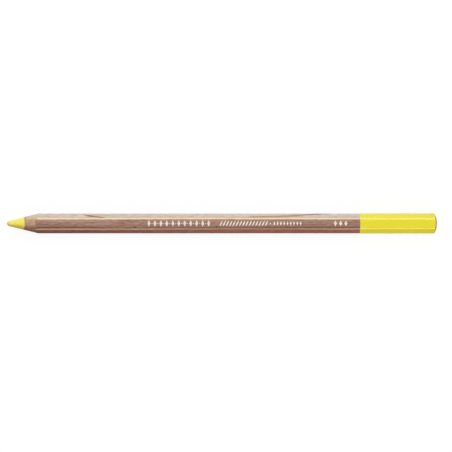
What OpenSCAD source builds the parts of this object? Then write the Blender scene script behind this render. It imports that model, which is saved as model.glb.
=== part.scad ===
// Hexagonal pastel pencil, sharpened at one end, domed and dipped at the other.
// A thick pastel core is glued between two grooved wooden slats. The block is
// planed to a hexagon, the front is cut to a cone that runs out in scallops on
// the six flats, and the rear is turned to a dome and dipped in lacquer.
//
// The pencil lies along X with its point at -X, one flat down on Z = 0 and the
// stamped flat facing +Z. X = 0 is half way along it and Y = 0 is its middle.
// All lengths are in millimetres and all angles in degrees.

/* [Overall] */
// Length from the worn point to the lacquered end
pencil_len = 175; // [100:0.5:220]
// Distance across the flats of the bare wood
across_flats = 7.25; // [6:0.05:12]
// Rounding of the six long edges of the bare wood
edge_r = 1; // [0.2:0.05:1.6]

/* [Core] */
// Diameter of the pastel core
core_d = 5.3; // [2:0.1:5.5]
// Height of the glue line, and the core with it, above the middle of the hexagon
glue_rise = 0.15; // [-0.2:0.01:0.2]
// Glue round the core, as a gap between the core and its two grooves
glue_gap = 0.03; // [0.01:0.01:0.05]

/* [Point] */
// Angle between the sharpened cone and the axis
cone_angle = 13.9; // [9:0.1:25]
// Radius of the ball that the tip of the core is worn to
point_r = 1.13; // [0.2:0.01:2]

/* [Dipped end] */
// Length of the lacquered end
dip_len = 31.4; // [6:0.1:60]
// Thickness of the lacquer film
lacquer_t = 0.05; // [0.03:0.01:0.3]
// Clearance between the wood and the film
film_gap = 0.01; // [0.005:0.005:0.05]
// Radius of the turned dome, in the wood
dome_r = 9.5; // [6:0.5:60]
// Rounding of the shoulder between the dome and the long edges, in the wood
shoulder_r = 0.6; // [0.2:0.05:1.5]
// Share of the shoulder's radius that lies inside the rounded edges
shoulder_share = 0.9; // [0.5:0.05:0.95]

/* [Hidden] */

// What the film adds outside the bare wood
film = film_gap + lacquer_t;
// Height of the hexagon's middle, with the lacquered flat resting on Z = 0
axis_z = across_flats / 2 + film;
// Height of the glue line, which is also the middle of the core and its grooves
glue_z = axis_z + glue_rise;
groove_r = core_d / 2 + glue_gap;

// The two ends and the front edge of the dip, along X
point_x = -pencil_len / 2;
wood_end_x = pencil_len / 2 - film;
dip_x = pencil_len / 2 - dip_len;

// Centres of the worn ball and of the dome, along X
ball_x = point_x + point_r;
dome_x = wood_end_x - dome_r;

// Radius of the circle through the centres of the six edge roundings
edge_ring_r = (across_flats / 2 - edge_r) / cos(180 / 6);
// Largest radius of the bare wood, over its rounded edges
corner_r = edge_ring_r + edge_r;
// Cutting shapes, and ends that are still to be cut, run this far past the cut
overrun = 2;
// Radius that clears the pencil, for the open sides of the cutting outlines
clear_r = corner_r + overrun;

// Centre of the shoulder rounding, tangent inside the dome: its distance from
// the axis, its distance behind the dome's centre, and its angle seen from there
shoulder_ring_r = corner_r - shoulder_share * shoulder_r;
shoulder_y = sqrt(pow(dome_r - shoulder_r, 2) - pow(shoulder_ring_r, 2));
shoulder_angle = asin(shoulder_ring_r / (dome_r - shoulder_r));

// Facets of a full circle, where a shape is drawn as a mesh
fine = 96;
// Angle between neighbouring edges of the hexagon
edge_step = 360 / 6;
// Roundings stand this much proud of the lines that they run into, so that
// the two surfaces cross instead of only touching
blend = 0.0002;

// Colours of the four pieces
pastel_colour = [0.96, 0.86, 0.30];
upper_wood_colour = [0.69, 0.53, 0.42];
lower_wood_colour = [0.62, 0.44, 0.35];
lacquer_colour = [0.92, 0.86, 0.24];

// Hexagon with rounded corners, flats facing up and down, grown by a film
module hexagon(grow) {
    arc_r = edge_r + grow;
    polygon([
        for (i = [0:5], side = [-1, 1])
            let (corner = edge_step * i, tangent = corner + side * edge_step / 2)
            [edge_ring_r * cos(corner) + arc_r * cos(tangent),
             edge_ring_r * sin(corner) + arc_r * sin(tangent)]
    ]);
    for (i = [0:5])
        translate(edge_ring_r * [cos(edge_step * i), sin(edge_step * i)])
            circle(r = arc_r + blend, $fn = fine);
}

// Hexagonal bar along X from one place to another
module hexagonal_bar(from_x, to_x, grow = 0) {
    translate([from_x, 0, axis_z])
        rotate([90, 0, 90])
            linear_extrude(to_x - from_x)
                hexagon(grow);
}

// Solid turned about the hexagon's own axis, from an outline whose X is the
// radius and whose Y runs along the pencil from the given place
module turned(from_x) {
    translate([from_x, 0, axis_z])
        rotate([0, 90, 0])
            rotate_extrude($fn = fine)
                children();
}

// All that the sharpener leaves: the worn ball, then the cone, then no limit
module sharpened_envelope() {
    tangent_r = point_r * cos(cone_angle);
    tangent_y = -point_r * sin(cone_angle);
    turned(ball_x) {
        polygon([
            [0, 0],
            [tangent_r, tangent_y],
            [clear_r, tangent_y + (clear_r - tangent_r) / tan(cone_angle)],
            [clear_r, pencil_len],
            [0, pencil_len]
        ]);
        half_disc(point_r + blend);
    }
}

// All that the end turning leaves: no limit, then the shoulder, then the dome
module domed_envelope(grow) {
    dome = dome_r + grow;
    past_dome = dome + overrun;
    turned(dome_x) {
        translate([0, -pencil_len])
            square([2 * clear_r, pencil_len + shoulder_y]);
        translate([shoulder_ring_r, shoulder_y])
            circle(r = shoulder_r + grow + blend, $fn = fine);
        intersection() {
            half_disc(dome);
            polygon([
                [0, 0],
                past_dome / cos(shoulder_angle) * [sin(shoulder_angle), cos(shoulder_angle)],
                [0, past_dome]
            ]);
        }
    }
}

// Right half of a disc, whose turning makes a ball
module half_disc(r) {
    intersection() {
        circle(r = r, $fn = 2 * fine);
        translate([0, -2 * r])
            square([2 * r, 4 * r]);
    }
}

// The whole casing outline, sharpened and domed, with nothing bored out
module casing_blank() {
    intersection() {
        hexagonal_bar(point_x, pencil_len / 2);
        sharpened_envelope();
        domed_envelope(0);
    }
}

// Round bar on the core's middle line, over the whole length and past both ends
module core_bar(r) {
    translate([point_x - overrun, 0, glue_z])
        rotate([0, 90, 0])
            cylinder(r = r, h = pencil_len + 2 * overrun, $fn = fine);
}

// Block that holds everything above the glue line, or below it when turned over
module half_space(turned_over) {
    translate([0, 0, glue_z])
        mirror([0, 0, turned_over ? 1 : 0])
            translate([-pencil_len, -clear_r, 0])
                cube([2 * pencil_len, 2 * clear_r, 2 * clear_r]);
}

// Half of the casing, with its half-round groove
module slat(turned_over) {
    intersection() {
        difference() {
            casing_blank();
            core_bar(groove_r);
        }
        half_space(turned_over);
    }
}

// Rear end of the pencil, grown by a film, from the front edge of the dip
module dipped_form(from_x, grow) {
    intersection() {
        hexagonal_bar(from_x, pencil_len / 2 + overrun, grow);
        domed_envelope(grow);
    }
}

module core() {
    color(pastel_colour)
        intersection() {
            core_bar(core_d / 2);
            sharpened_envelope();
            domed_envelope(0);
        }
}

module upper_slat() {
    color(upper_wood_colour)
        slat(turned_over = false);
}

module lower_slat() {
    color(lower_wood_colour)
        slat(turned_over = true);
}

module end_lacquer() {
    color(lacquer_colour)
        difference() {
            dipped_form(dip_x, film);
            dipped_form(dip_x - overrun, film_gap);
        }
}

core();
upper_slat();
lower_slat();
end_lacquer();
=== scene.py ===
"""Builds the looks of a wood-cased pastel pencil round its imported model.

The pencil lies along X with its point at -X and its stamped flat facing +Z.
Lengths are in metres and angles in radians. The patterns of the pencil's
finishes, and the print, count in millimetres.
"""

from __future__ import annotations

import logging
import math
from collections.abc import Callable
from dataclasses import dataclass, field
from enum import Enum

import bmesh
import bpy
from bmesh.types import BMEdge, BMFace, BMVert
from bpy.types import ID, Material, Node, NodeSocket, NodeTree, Object, World
from mathutils import Matrix, Vector, noise

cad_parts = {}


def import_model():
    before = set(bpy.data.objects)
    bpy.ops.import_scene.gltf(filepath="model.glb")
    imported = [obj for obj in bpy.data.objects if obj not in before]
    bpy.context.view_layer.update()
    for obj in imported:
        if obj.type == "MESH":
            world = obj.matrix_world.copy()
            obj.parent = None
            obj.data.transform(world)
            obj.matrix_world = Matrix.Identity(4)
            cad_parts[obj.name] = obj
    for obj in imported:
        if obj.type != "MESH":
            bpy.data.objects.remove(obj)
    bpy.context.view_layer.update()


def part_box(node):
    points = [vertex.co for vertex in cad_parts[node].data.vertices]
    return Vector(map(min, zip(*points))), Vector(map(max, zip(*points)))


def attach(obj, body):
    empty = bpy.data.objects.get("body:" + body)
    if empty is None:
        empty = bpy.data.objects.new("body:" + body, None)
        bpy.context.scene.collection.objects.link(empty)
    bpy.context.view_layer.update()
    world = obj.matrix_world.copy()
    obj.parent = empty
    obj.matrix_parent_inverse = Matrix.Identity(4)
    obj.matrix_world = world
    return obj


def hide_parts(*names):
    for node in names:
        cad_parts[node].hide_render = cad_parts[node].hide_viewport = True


LOG = logging.getLogger("pastel_pencil")

MM = 0.001
BODY = "root"
SIXTH = math.tau / 6
SMOOTH_BELOW = math.radians(10)
MERGE_WITHIN = 0.0005 * MM
CUT_WITHIN = 0.0001 * MM

Colour = tuple[float, float, float]
Triple = tuple[float, float, float]
Span = tuple[float, float]
EVEN: Triple = (1, 1, 1)


# ---------------------------------------------------------------- form


@dataclass(frozen=True)
class PencilForm:
    """The outside form that every piece is cut from.

    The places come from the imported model. The roundings and angles are the
    pencil's own driving sizes.
    """

    point_x: float
    end_x: float
    dip_x: float
    axis_z: float
    glue_z: float
    film: float
    core_r: float = 2.65 * MM
    glue_gap: float = 0.03 * MM
    film_gap: float = 0.01 * MM
    edge_r: float = 1.0 * MM
    cone_angle: float = math.radians(13.9)
    point_r: float = 1.13 * MM
    dome_r: float = 9.5 * MM
    shoulder_r: float = 0.6 * MM
    shoulder_share: float = 0.9

    @classmethod
    def from_frame(cls) -> PencilForm:
        """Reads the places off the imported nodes.

        Returns:
            The form, with its roundings and angles as they are by default.
        """
        core_low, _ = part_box("core")
        upper_low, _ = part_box("upper_slat")
        lower_low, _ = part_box("lower_slat")
        film_low, film_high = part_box("end_lacquer")
        return cls(
            point_x=core_low.x,
            end_x=film_high.x,
            dip_x=film_low.x,
            axis_z=(film_low.z + film_high.z) / 2,
            glue_z=upper_low.z,
            film=lower_low.z - film_low.z,
        )

    @property
    def half_flats(self) -> float:
        """Half the distance across the flats of the bare wood."""
        return self.axis_z - self.film

    @property
    def top_z(self) -> float:
        """Height of the bare wood's top flat."""
        return self.axis_z + self.half_flats

    @property
    def groove_r(self) -> float:
        """Radius of the groove that holds the core."""
        return self.core_r + self.glue_gap

    @property
    def edge_ring_r(self) -> float:
        """Radius of the circle through the middles of the edge roundings."""
        return (self.half_flats - self.edge_r) / math.cos(SIXTH / 2)

    @property
    def apex_x(self) -> float:
        """Where the sharpened cone would come to a sharp point."""
        return self.point_x + self.point_r - self.point_r / math.sin(self.cone_angle)

    def section_point(self, angle: float, grow: float = 0.0) -> Vector:
        """Finds a point of the rounded hexagon's outline.

        Args:
            angle: Direction from the axis, turning from +Y towards +Z.
            grow: What a film adds outside the bare wood.

        Returns:
            The point, in the plane across the pencil at X = 0.
        """
        off = abs((angle + SIXTH / 2) % SIXTH - SIXTH / 2)
        arc = self.edge_r + grow
        ring = self.edge_ring_r
        tangent = math.atan2(arc * math.sin(SIXTH / 2), ring + arc * math.cos(SIXTH / 2))
        if off > tangent:
            radius = (self.half_flats + grow) / math.cos(SIXTH / 2 - off)
        else:
            radius = ring * math.cos(off) + math.sqrt(arc**2 - (ring * math.sin(off)) ** 2)
        return self.axis_point(radius, angle)

    def axis_point(self, radius: float, angle: float) -> Vector:
        """The point at that radius and direction from the hexagon's axis."""
        return Vector((0, radius * math.cos(angle), self.axis_z + radius * math.sin(angle)))

    def core_point(self, radius: float, angle: float) -> Vector:
        """The point at that radius and direction from the core's axis."""
        return Vector((0, radius * math.cos(angle), self.glue_z + radius * math.sin(angle)))

    def radius_of(self, point: Vector) -> float:
        """Distance of a point from the hexagon's axis."""
        return math.hypot(point.y, point.z - self.axis_z)

    def angle_of(self, point: Vector) -> float:
        """Direction of a point from the hexagon's axis."""
        return math.atan2(point.z - self.axis_z, point.y)

    def front_x(self, radius: float) -> float:
        """Where the worn ball and the cone behind it have a radius.

        Args:
            radius: Distance from the hexagon's axis.

        Returns:
            The place along the pencil.
        """
        ball_x = self.point_x + self.point_r
        tangent_r = self.point_r * math.cos(self.cone_angle)
        if radius <= tangent_r:
            return ball_x - math.sqrt(self.point_r**2 - radius**2)
        return self.apex_x + radius / math.tan(self.cone_angle)

    def rear_x(self, radius: float, grow: float = 0.0) -> float:
        """Where the turned dome and its shoulder have a radius.

        Args:
            radius: Distance from the hexagon's axis.
            grow: What a film adds outside the bare wood.

        Returns:
            The place along the pencil.
        """
        dome = self.dome_r + grow
        dome_x = self.end_x - self.film - self.dome_r
        inner = self.dome_r - self.shoulder_r
        ring = self.edge_ring_r + self.edge_r - self.shoulder_share * self.shoulder_r
        if radius <= ring * dome / inner:
            return dome_x + math.sqrt(dome**2 - radius**2)
        rounding = math.sqrt(max((self.shoulder_r + grow) ** 2 - (radius - ring) ** 2, 0))
        return dome_x + math.sqrt(inner**2 - ring**2) + rounding


# ---------------------------------------------------------------- mesh work


def set_out(name: str, data: ID) -> Object:
    """Puts a mesh, a lamp or a camera into the scene.

    Args:
        name: Name of the object.
        data: What it shows.

    Returns:
        The object.
    """
    placed = bpy.data.objects.new(name, data)
    bpy.context.scene.collection.objects.link(placed)
    return placed


class Wall(Enum):
    """The two skins of a hollow piece."""

    OUTER = 0
    INNER = 1


class Workpiece:
    """A mesh drawn out ring by ring along the pencil, then set to its form."""

    def __init__(self, name: str) -> None:
        """Starts an empty mesh.

        Args:
            name: Name of the piece and of its mesh.
        """
        self.name = name
        self.bm = bmesh.new()
        layers = self.bm.verts.layers.int
        self.ring = layers.new("ring")
        self.column = layers.new("column")
        self.wall = layers.new("wall")

    def draw_hexagon(self, form: PencilForm, corner_cuts: int, flat_cuts: int) -> None:
        """Draws the rounded hexagon as one face across the pencil.

        Args:
            form: The pencil's form.
            corner_cuts: Segments of each rounded corner.
            flat_cuts: Cuts across each flat.
        """
        sharp_r = form.half_flats / math.cos(SIXTH / 2)
        made = bmesh.ops.create_circle(self.bm, cap_ends=True, radius=sharp_r, segments=6)
        bmesh.ops.bevel(
            self.bm,
            geom=made["verts"],
            offset=form.edge_r * math.tan(SIXTH / 2),
            offset_type="OFFSET",
            segments=corner_cuts,
            profile=0.5,
            affect="VERTICES",
            clamp_overlap=False,
            material=-1,
        )
        flats = [edge for edge in self.bm.edges if edge.calc_length() > form.edge_r]
        bmesh.ops.subdivide_edges(self.bm, edges=flats, cuts=flat_cuts)
        self.stand_across(form.axis_z)

    def draw_disc(self, radius: float, height: float, segments: int) -> None:
        """Draws a round face across the pencil.

        Args:
            radius: Radius of the disc.
            height: Height of its middle.
            segments: Segments of its outline.
        """
        bmesh.ops.create_circle(self.bm, cap_ends=True, radius=radius, segments=segments)
        self.stand_across(height)

    def stand_across(self, height: float) -> None:
        """Turns what was drawn flat to stand across the pencil.

        Args:
            height: Height that its middle is lifted to.
        """
        turn = Matrix.Rotation(math.pi / 2, 4, "Y")
        place = Matrix.Translation((0, 0, height)) @ turn
        bmesh.ops.transform(self.bm, matrix=place, verts=self.bm.verts)

    def open_outline(self) -> None:
        """Takes the face out of the drawn outline and leaves its edges."""
        bmesh.ops.delete(self.bm, geom=list(self.bm.faces), context="FACES_ONLY")

    def number_columns(self, centre_z: float) -> list[float]:
        """Numbers the outline's corners by their direction from a centre.

        Args:
            centre_z: Height of the centre.

        Returns:
            The directions in the order of the numbers.
        """
        angles = []
        for vert in self.bm.verts:
            angle = math.atan2(vert.co.z - centre_z, vert.co.y)
            angles.append((angle, vert))
        angles.sort(key=lambda pair: pair[0])
        for number, (_, vert) in enumerate(angles):
            vert[self.column] = number
        return [angle for angle, _ in angles]

    def add_inner_wall(self) -> None:
        """Draws the outline out sideways, as the strip between the two walls."""
        made = bmesh.ops.extrude_edge_only(self.bm, edges=list(self.bm.edges))
        for item in made["geom"]:
            if isinstance(item, BMVert):
                item[self.wall] = Wall.INNER.value

    def draw_out(self, rings: int) -> None:
        """Draws the section out along the pencil.

        Args:
            rings: How many rings are added behind the first.
        """
        region = list(self.bm.faces)
        for number in range(1, rings + 1):
            edges = dict.fromkeys(edge for face in region for edge in face.edges)
            made = bmesh.ops.extrude_face_region(self.bm, geom=[*region, *edges])
            verts = [item for item in made["geom"] if isinstance(item, BMVert)]
            region = [item for item in made["geom"] if isinstance(item, BMFace)]
            bmesh.ops.translate(self.bm, vec=(MM, 0, 0), verts=verts)
            for vert in verts:
                vert[self.ring] = number

    def open_end(self, ring: int) -> None:
        """Takes out the faces that lie wholly in one ring."""
        caps = [f for f in self.bm.faces if all(v[self.ring] == ring for v in f.verts)]
        bmesh.ops.delete(self.bm, geom=caps, context="FACES_ONLY")

    def set_form(self, place: Callable[[int, int, Wall], Vector]) -> None:
        """Moves every point to its place and joins those that meet.

        Args:
            place: Function of ring, column and wall that returns the point.
        """
        for vert in self.bm.verts:
            vert.co = place(vert[self.ring], vert[self.column], Wall(vert[self.wall]))
        bmesh.ops.remove_doubles(self.bm, verts=self.bm.verts, dist=MERGE_WITHIN)

    def soften(self, chosen: Callable[[BMEdge], bool], width: float, segments: int) -> None:
        """Rounds the chosen edges.

        Args:
            chosen: Function that says of an edge whether it is rounded.
            width: Width of the rounding.
            segments: Segments across the rounding.
        """
        bmesh.ops.bevel(
            self.bm,
            geom=[edge for edge in self.bm.edges if chosen(edge)],
            offset=width,
            offset_type="OFFSET",
            segments=segments,
            profile=0.5,
            affect="EDGES",
            clamp_overlap=True,
            material=-1,
        )

    def finish(self, material: Material, slot: str | None, replaces: str | None) -> Object:
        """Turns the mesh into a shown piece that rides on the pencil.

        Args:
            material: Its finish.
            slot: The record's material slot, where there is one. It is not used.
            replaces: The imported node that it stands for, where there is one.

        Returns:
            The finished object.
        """
        bmesh.ops.recalc_face_normals(self.bm, faces=self.bm.faces)
        for face in self.bm.faces:
            face.smooth = True
        mesh = bpy.data.meshes.new(self.name)
        self.bm.to_mesh(mesh)
        self.bm.free()
        for layer in ("ring", "column", "wall"):
            mesh.attributes.remove(mesh.attributes[layer])
        mesh.set_sharp_from_angle(angle=SMOOTH_BELOW)
        mesh.materials.append(material)
        piece = set_out(self.name, mesh)
        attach(piece, BODY)
        if replaces:
            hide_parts(replaces)
        return piece


# ---------------------------------------------------------------- shader work


@dataclass(frozen=True)
class Grain:
    """A soft noise pattern, counted in repeats to the millimetre."""

    stretch: Triple = EVEN
    scale: float = 1.0
    detail: float = 2.0


@dataclass(frozen=True)
class Ramp:
    """A smooth rise from 0 to a height as a value goes from start to end."""

    start: float
    end: float
    height: float = 1.0


class Graph:
    """A node tree with short calls for the nodes that the finishes share."""

    def __init__(self, owner: Material | World | NodeTree) -> None:
        """Works on a node group, or on the emptied tree of a material or world.

        Args:
            owner: The group, material or world.
        """
        self.tree = owner
        if not isinstance(owner, NodeTree):
            owner.use_nodes = True
            owner.node_tree.nodes.clear()
            self.tree = owner.node_tree

    def node(self, kind: str, **settings: object) -> Node:
        """Adds a node.

        Args:
            kind: Its type, without the ShaderNode at the front.
            settings: Attributes to set on it.

        Returns:
            The new node.
        """
        made = self.tree.nodes.new("ShaderNode" + kind)
        for key, value in settings.items():
            setattr(made, key, value)
        return made

    def put(self, socket: NodeSocket, value: object) -> None:
        """Links a socket into an input, or sets the input's own value.

        Args:
            socket: The input.
            value: The socket, or a plain value.
        """
        if isinstance(value, NodeSocket):
            self.tree.links.new(value, socket)
        else:
            socket.default_value = value

    def math(self, operation: str, *values: object, clamp: bool = False) -> NodeSocket:
        """Adds a Math node.

        Args:
            operation: Its operation, such as MULTIPLY.
            values: Its one to three inputs.
            clamp: Whether the result is kept from 0 to 1.

        Returns:
            Its output.
        """
        made = self.node("Math", operation=operation, use_clamp=clamp)
        for socket, value in zip(made.inputs, values):
            self.put(socket, value)
        return made.outputs[0]

    def times(self, first: object, second: object) -> NodeSocket:
        """The product of two values."""
        return self.math("MULTIPLY", first, second)

    def plus(self, first: object, second: object) -> NodeSocket:
        """The sum of two values."""
        return self.math("ADD", first, second)

    def minus(self, first: object, second: object) -> NodeSocket:
        """The first value less the second."""
        return self.math("SUBTRACT", first, second)

    def line(self, value: object, slope: object, base: object, clamp: bool = False) -> NodeSocket:
        """A value times a slope, plus a base."""
        return self.math("MULTIPLY_ADD", value, slope, base, clamp=clamp)

    def length(self, vector: NodeSocket) -> NodeSocket:
        """Measures a vector.

        Args:
            vector: The vector.

        Returns:
            Its length.
        """
        made = self.node("VectorMath", operation="LENGTH")
        self.put(made.inputs[0], vector)
        return made.outputs["Value"]

    def scale(self, colour: NodeSocket, factor: object) -> NodeSocket:
        """Makes a colour lighter or darker.

        Args:
            colour: The colour.
            factor: How many times lighter it becomes.

        Returns:
            The new colour.
        """
        made = self.node("VectorMath", operation="SCALE")
        self.put(made.inputs[0], colour)
        self.put(made.inputs["Scale"], factor)
        return made.outputs["Vector"]

    def split(self, vector: NodeSocket) -> tuple[NodeSocket, NodeSocket, NodeSocket]:
        """Takes a vector apart.

        Args:
            vector: The vector.

        Returns:
            Its X, Y and Z.
        """
        made = self.node("SeparateXYZ")
        self.put(made.inputs[0], vector)
        return made.outputs[0], made.outputs[1], made.outputs[2]

    def fade(self, value: object, start: object, end: object) -> NodeSocket:
        """Rises smoothly from 0 to 1.

        Args:
            value: What it follows.
            start: The value at which it leaves 0.
            end: The value at which it reaches 1.

        Returns:
            The result.
        """
        made = self.node("MapRange", interpolation_type="SMOOTHSTEP")
        self.put(made.inputs["Value"], value)
        self.put(made.inputs["From Min"], start)
        self.put(made.inputs["From Max"], end)
        return made.outputs["Result"]

    def ramp(self, value: NodeSocket, ramp: Ramp, shift: float = 0.0) -> NodeSocket:
        """Reads a ramp.

        Args:
            value: Where it is read.
            ramp: The ramp.
            shift: How far its start and end are moved.

        Returns:
            Its height there.
        """
        risen = self.fade(value, ramp.start + shift, ramp.end + shift)
        return risen if ramp.height == 1 else self.times(risen, ramp.height)

    def span(self, value: object, low: float, high: float) -> NodeSocket:
        """Stretches a value that runs from 0 to 1.

        Args:
            value: The value.
            low: What 0 becomes.
            high: What 1 becomes.

        Returns:
            The stretched value.
        """
        made = self.node("MapRange")
        self.put(made.inputs["Value"], value)
        made.inputs["To Min"].default_value = low
        made.inputs["To Max"].default_value = high
        return made.outputs["Result"]

    def mix(self, factor: object, first: object, second: object) -> NodeSocket:
        """Mixes two colours, which are sockets or plain colours.

        Args:
            factor: Share of the second colour.
            first: The first colour.
            second: The second colour.

        Returns:
            The mixed colour.
        """
        made = self.node("Mix", data_type="RGBA")
        # The sockets for colours come after those for numbers and vectors.
        self.put(made.inputs["Factor"], factor)
        for socket, value in ((made.inputs[6], first), (made.inputs[7], second)):
            self.put(socket, value if isinstance(value, NodeSocket) else (*value, 1.0))
        return made.outputs[2]

    def place(self, vector: NodeSocket, scale: Triple, shift: Triple = (0, 0, 0)) -> NodeSocket:
        """Stretches and shifts a pattern's coordinates.

        Args:
            vector: The coordinates.
            scale: The stretch along each axis.
            shift: What is added afterwards.

        Returns:
            The new coordinates.
        """
        made = self.node("Mapping", vector_type="POINT")
        self.put(made.inputs["Vector"], vector)
        made.inputs["Location"].default_value = shift
        made.inputs["Scale"].default_value = scale
        return made.outputs["Vector"]

    def grain(self, where: NodeSocket, pattern: Grain) -> NodeSocket:
        """Reads a noise pattern.

        Args:
            where: The place, in millimetres.
            pattern: The pattern.

        Returns:
            Its value, from about 0 to 1.
        """
        seat = where if pattern.stretch == EVEN else self.place(where, pattern.stretch)
        made = self.node("TexNoise")
        self.put(made.inputs["Vector"], seat)
        made.inputs["Scale"].default_value = pattern.scale
        made.inputs["Detail"].default_value = pattern.detail
        return made.outputs["Fac"]

    def millimetres(self) -> NodeSocket:
        """The place on the piece, counted in millimetres."""
        seen = self.node("TexCoord").outputs["Object"]
        return self.place(seen, (1 / MM, 1 / MM, 1 / MM))

    def distance(self, where: NodeSocket, height: float) -> NodeSocket:
        """Measures how far a place is from a line along the pencil.

        Args:
            where: The place, in millimetres.
            height: The line's height, in metres.

        Returns:
            The distance, in millimetres.
        """
        _, y, z = self.split(where)
        made = self.node("CombineXYZ")
        self.put(made.inputs[1], y)
        self.put(made.inputs[2], self.minus(z, height / MM))
        return self.length(made.outputs[0])

    def use(self, group: NodeTree, **values: object) -> Node:
        """Places a shared effect in this tree.

        Args:
            group: The effect's node group.
            values: Its inputs by name.

        Returns:
            The group's node.
        """
        made = self.node("Group", node_tree=group)
        for key, value in values.items():
            self.put(made.inputs[key], value)
        return made

    def bump(self, height: NodeSocket, depth: float) -> NodeSocket:
        """Raises a surface's relief.

        Args:
            height: Height of the relief, from 0 to 1.
            depth: Its full height, in metres.

        Returns:
            The normal of the raised surface.
        """
        made = self.node("Bump")
        made.inputs["Strength"].default_value = 1.0
        made.inputs["Distance"].default_value = depth
        self.put(made.inputs["Height"], height)
        return made.outputs["Normal"]

    def ray_kinds(self) -> tuple[NodeSocket, NodeSocket]:
        """Sorts the rays that reach a surface.

        Returns:
            Whether a ray shows the surface to the camera, and whether it is glossy.
        """
        path = self.node("LightPath").outputs
        seen = self.math("MAXIMUM", path["Is Camera Ray"], path["Is Transmission Ray"])
        return seen, path["Is Glossy Ray"]

    def show(self, surface: NodeSocket, output: str = "OutputMaterial") -> None:
        """Sends a shader to the tree's output."""
        self.put(self.node(output).inputs["Surface"], surface)


class Effect:
    """A shared effect: a node group with named inputs and outputs."""

    def __init__(self, name: str, inputs: dict[str, str], outputs: dict[str, str]) -> None:
        """Makes the group and its sockets.

        Args:
            name: Name of the group.
            inputs: Type of each input, such as Float, by its name.
            outputs: Type of each output by its name.
        """
        self.tree = bpy.data.node_groups.new(name, "ShaderNodeTree")
        for direction, sockets in (("INPUT", inputs), ("OUTPUT", outputs)):
            for key, kind in sockets.items():
                self.tree.interface.new_socket(
                    name=key, in_out=direction, socket_type="NodeSocket" + kind
                )
        self.graph = Graph(self.tree)
        self.inputs = self.tree.nodes.new("NodeGroupInput").outputs
        self.outputs = self.tree.nodes.new("NodeGroupOutput").inputs

    def give(self, **results: NodeSocket) -> NodeTree:
        """Sends results to the group's outputs.

        Args:
            results: Each result by the name of its output.

        Returns:
            The finished group.
        """
        for key, socket in results.items():
            self.tree.links.new(socket, self.outputs[key])
        return self.tree


@dataclass(frozen=True)
class GrowthRings:
    """Latewood lines: nearly flat layers that drift through the slat."""

    drift: Grain = Grain((0.018, 0.35, 0.35))
    drift_depth: float = 2.2
    rise: Ramp = Ramp(0.35, 0.93)
    fall: Ramp = Ramp(1.0, 0.95)
    seasons: Span = (0.25, 1.0)

    def build(self) -> NodeTree:
        """Builds the node group.

        Returns:
            The group.
        """
        effect = Effect(
            "growth_rings",
            {"Vector": "Vector", "Across": "Vector", "Spacing": "Float"},
            {"Latewood": "Float"},
        )
        g = effect.graph
        where = effect.inputs["Vector"]
        layer = g.node("VectorMath", operation="DOT_PRODUCT")
        g.put(layer.inputs[0], where)
        g.put(layer.inputs[1], effect.inputs["Across"])
        depth = g.line(g.grain(where, self.drift), self.drift_depth, layer.outputs["Value"])
        count = g.math("DIVIDE", depth, effect.inputs["Spacing"])
        part = g.math("FRACT", count)
        band = g.times(g.ramp(part, self.rise), g.ramp(part, self.fall))
        season = g.node("TexWhiteNoise", noise_dimensions="1D")
        g.put(season.inputs["W"], g.math("FLOOR", count))
        strength = g.span(season.outputs["Value"], *self.seasons)
        return effect.give(Latewood=g.times(band, strength))


@dataclass(frozen=True)
class WoodFibre:
    """Long fibres, short dark pores and the shimmer that crosses them."""

    long_fibre: Grain = Grain((0.06, 1.7, 1.7), detail=3.0)
    fine_fibre: Grain = Grain((0.22, 9.0, 9.0))
    long_share: float = 0.65
    fine_share: float = 0.35
    cells: Triple = (0.55, 5.2, 5.2)
    rare: Ramp = Ramp(0.60, 0.66)
    slit: Ramp = Ramp(0.30, 0.12)
    shimmer: Grain = Grain((0.36, 2.6, 2.6), detail=3.0)
    pore_depth: float = 0.9

    def build(self) -> NodeTree:
        """Builds the node group.

        Returns:
            The group.
        """
        effect = Effect(
            "wood_fibre",
            {"Vector": "Vector"},
            {"Fibre": "Float", "Pores": "Float", "Shimmer": "Float", "Height": "Float"},
        )
        g = effect.graph
        where = effect.inputs["Vector"]
        long_fibre = g.grain(where, self.long_fibre)
        fine_fibre = g.grain(where, self.fine_fibre)
        cells = g.node("TexVoronoi", feature="F1", voronoi_dimensions="3D")
        g.put(cells.inputs["Vector"], g.place(where, self.cells))
        cells.inputs["Scale"].default_value = 1.0
        rare = g.ramp(g.split(cells.outputs["Color"])[0], self.rare)
        pores = g.times(rare, g.ramp(cells.outputs["Distance"], self.slit))
        return effect.give(
            Fibre=g.line(fine_fibre, self.fine_share, g.times(long_fibre, self.long_share)),
            Pores=pores,
            Shimmer=g.grain(where, self.shimmer),
            Height=g.line(pores, -self.pore_depth, fine_fibre),
        )


@dataclass(frozen=True)
class PigmentDust:
    """Loose pigment: specks of several sizes, thicker in patches."""

    patches: Grain = Grain(scale=0.8, detail=3.0)
    specks: Grain = Grain(scale=9.0, detail=4.0)
    patch_share: float = 0.5
    limit: float = 0.8
    limit_drop: float = 0.55
    softness: float = 0.10

    def build(self) -> NodeTree:
        """Builds the node group.

        Returns:
            The group.
        """
        effect = Effect(
            "pigment_dust",
            {"Vector": "Vector", "Amount": "Float"},
            {"Mask": "Float"},
        )
        g = effect.graph
        where = effect.inputs["Vector"]
        specks = g.times(g.grain(where, self.specks), 1 - self.patch_share)
        both = g.line(g.grain(where, self.patches), self.patch_share, specks)
        limit = g.minus(self.limit, g.times(effect.inputs["Amount"], self.limit_drop))
        return effect.give(Mask=g.fade(both, limit, g.plus(limit, self.softness)))


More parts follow.
